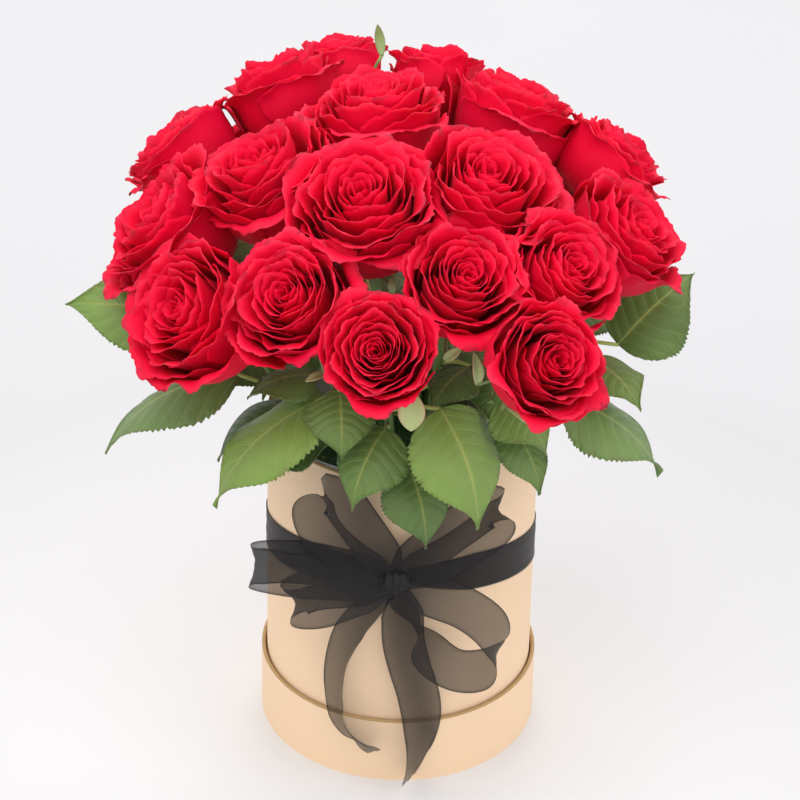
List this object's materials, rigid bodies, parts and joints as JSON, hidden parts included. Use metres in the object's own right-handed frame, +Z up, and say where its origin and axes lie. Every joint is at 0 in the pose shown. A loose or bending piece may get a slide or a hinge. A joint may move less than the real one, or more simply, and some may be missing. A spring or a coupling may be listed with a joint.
{
  "type": "flower box",
  "caption": "Round paperboard hat box standing in its own upturned lid, filled with a dome of cut roses in foam and tied with a sheer ribbon bow.",
  "frame": {"origin": "on the ground under the box, on the axis of the tube", "axes": "+Z up along the tube's axis, -Y to the front where the bow is, +X to the right seen from the front"},
  "size_m": [0.3647, 0.3289, 0.4143],
  "materials": {
    "box_paper": "matt kraft cover paper",
    "lid_paper": "matt kraft cover paper",
    "board": "plain grey-brown board",
    "film": "clear glossy liner film",
    "foam": "wet floral foam",
    "organza": "sheer organza with woven edges",
    "leaf": "satin leaf",
    "petal": "velvety petal",
    "stem": "green stem"
  },
  "bodies": {
    "lid": {"lid_rim": "lid_paper", "lid_panel": "board"},
    "box": {"box_tube": "box_paper", "box_floor": "board", "ribbon_band": "organza", "bow_knot": "organza", "bow_loops": "organza", "bow_tails": "organza"},
    "planting": {"liner_film": "film", "foam_block": "foam", "leaves_left": "leaf", "leaves_front": "leaf", "leaves_right": "leaf", "leaves_back": "leaf", "rose_bloom_1": "petal", "rose_bloom_2": "petal", "rose_bloom_3": "petal", "rose_bloom_4": "petal", "rose_bloom_5": "petal", "rose_bloom_6": "petal", "rose_bloom_7": "petal", "rose_bloom_8": "petal", "rose_bloom_9": "petal", "rose_bloom_10": "petal", "rose_bloom_11": "petal", "rose_bloom_12": "petal", "rose_bloom_13": "petal", "rose_bloom_14": "petal", "rose_bloom_15": "petal", "rose_bloom_16": "petal", "rose_bloom_17": "petal", "rose_bloom_18": "petal", "rose_bloom_19": "petal", "rose_bloom_20": "petal", "rose_bloom_21": "petal", "rose_bloom_22": "petal", "rose_stem_1": "stem", "rose_stem_2": "stem", "rose_stem_3": "stem", "rose_stem_4": "stem", "rose_stem_5": "stem", "rose_stem_6": "stem", "rose_stem_7": "stem", "rose_stem_8": "stem", "rose_stem_9": "stem", "rose_stem_10": "stem", "rose_stem_11": "stem", "rose_stem_12": "stem", "rose_stem_13": "stem", "rose_stem_14": "stem", "rose_stem_15": "stem", "rose_stem_16": "stem", "rose_stem_17": "stem", "rose_stem_18": "stem", "rose_stem_19": "stem", "rose_stem_20": "stem", "rose_stem_21": "stem", "rose_stem_22": "stem"}
  },
  "joints": [
    {"name": "box_lift", "type": "slide", "parent": "lid", "child": "box", "axis": [0, 0, 1], "range_m": [0, 0.06]},
    {"name": "planting_lift", "type": "slide", "parent": "box", "child": "planting", "axis": [0, 0, 1], "range_m": [0, 0.22]}
  ]
}
